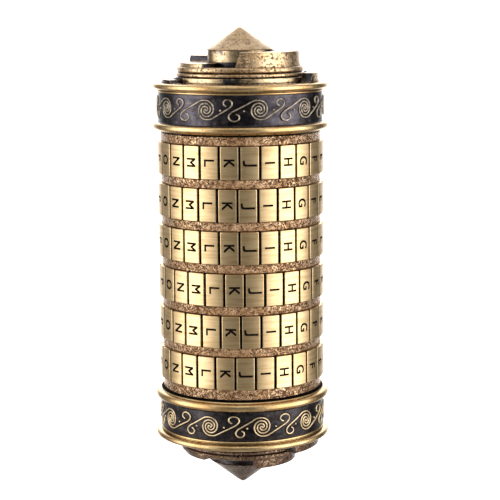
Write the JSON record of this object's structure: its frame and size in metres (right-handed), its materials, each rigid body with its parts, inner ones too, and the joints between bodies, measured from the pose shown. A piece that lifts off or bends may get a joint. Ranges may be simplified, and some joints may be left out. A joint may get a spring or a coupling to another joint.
{
  "type": "cryptex",
  "caption": "Hand-held brass combination cylinder: lettered dials turn on a slotted sleeve and free an inner vault tube that draws out of one end.",
  "frame": {"origin": "middle of the whole length, on the axis that the dials turn on", "axes": "+Z along the long axis towards the upper cap, which draws out; -Y is the front, where the code letters line up"},
  "size_m": [0.05, 0.05, 0.132],
  "materials": {
    "satin_brass": "satin, brushed round the ring, letters filled black",
    "polished_brass": "polished, slightly browned",
    "antique_brass": "antiqued, dark in the pits and corners",
    "plain_brass": "machined",
    "mottled_copper": "mottled brown copper, pitted",
    "blackened_brass": "blackened, with bright scroll relief",
    "steel": "machined"
  },
  "bodies": {
    "sleeve_side": {"outer_sleeve": "plain_brass", "seat_collar": "mottled_copper", "retaining_ring": "plain_brass", "grub_screw_1": "steel", "grub_screw_2": "steel", "grub_screw_3": "steel", "lower_cap_cup": "polished_brass", "lower_scroll_band": "blackened_brass", "lower_rim_ring": "polished_brass", "lower_tier_disc": "antique_brass", "lower_finial": "antique_brass", "lower_end_plug": "plain_brass", "lower_outer_stair": "antique_brass", "lower_inner_stair": "antique_brass"},
    "vault_side": {"vault_tube": "plain_brass", "locking_pin_1": "steel", "locking_pin_2": "steel", "locking_pin_3": "steel", "locking_pin_4": "steel", "locking_pin_5": "steel", "locking_pin_6": "steel", "upper_cap_cup": "polished_brass", "upper_scroll_band": "blackened_brass", "upper_rim_ring": "polished_brass", "upper_tier_disc": "antique_brass", "upper_finial": "antique_brass", "upper_end_plug": "plain_brass", "upper_outer_stair": "antique_brass", "upper_inner_stair": "antique_brass"},
    "dial_1": {"letter_ring_1": "satin_brass", "code_ring_1": "mottled_copper"},
    "dial_2": {"letter_ring_2": "satin_brass", "code_ring_2": "mottled_copper"},
    "dial_3": {"letter_ring_3": "satin_brass", "code_ring_3": "mottled_copper"},
    "dial_4": {"letter_ring_4": "satin_brass", "code_ring_4": "mottled_copper"},
    "dial_5": {"letter_ring_5": "satin_brass", "code_ring_5": "mottled_copper"},
    "dial_6": {"letter_ring_6": "satin_brass", "code_ring_6": "mottled_copper"}
  },
  "joints": [
    {"name": "vault_slide", "type": "slide", "parent": "sleeve_side", "child": "vault_side", "axis": [0, 0, 1], "range_m": [0, 0.11]},
    {"name": "dial_1_spin", "type": "hinge", "parent": "sleeve_side", "child": "dial_1", "pos_m": [0, 0, 0.03107], "axis": [0, 0, 1], "continuous": true},
    {"name": "dial_2_spin", "type": "hinge", "parent": "sleeve_side", "child": "dial_2", "pos_m": [0, 0, 0.01935], "axis": [0, 0, 1], "continuous": true},
    {"name": "dial_3_spin", "type": "hinge", "parent": "sleeve_side", "child": "dial_3", "pos_m": [0, 0, 0.00763], "axis": [0, 0, 1], "continuous": true},
    {"name": "dial_4_spin", "type": "hinge", "parent": "sleeve_side", "child": "dial_4", "pos_m": [0, 0, -0.00409], "axis": [0, 0, 1], "continuous": true},
    {"name": "dial_5_spin", "type": "hinge", "parent": "sleeve_side", "child": "dial_5", "pos_m": [0, 0, -0.01581], "axis": [0, 0, 1], "continuous": true},
    {"name": "dial_6_spin", "type": "hinge", "parent": "sleeve_side", "child": "dial_6", "pos_m": [0, 0, -0.02753], "axis": [0, 0, 1], "continuous": true}
  ]
}
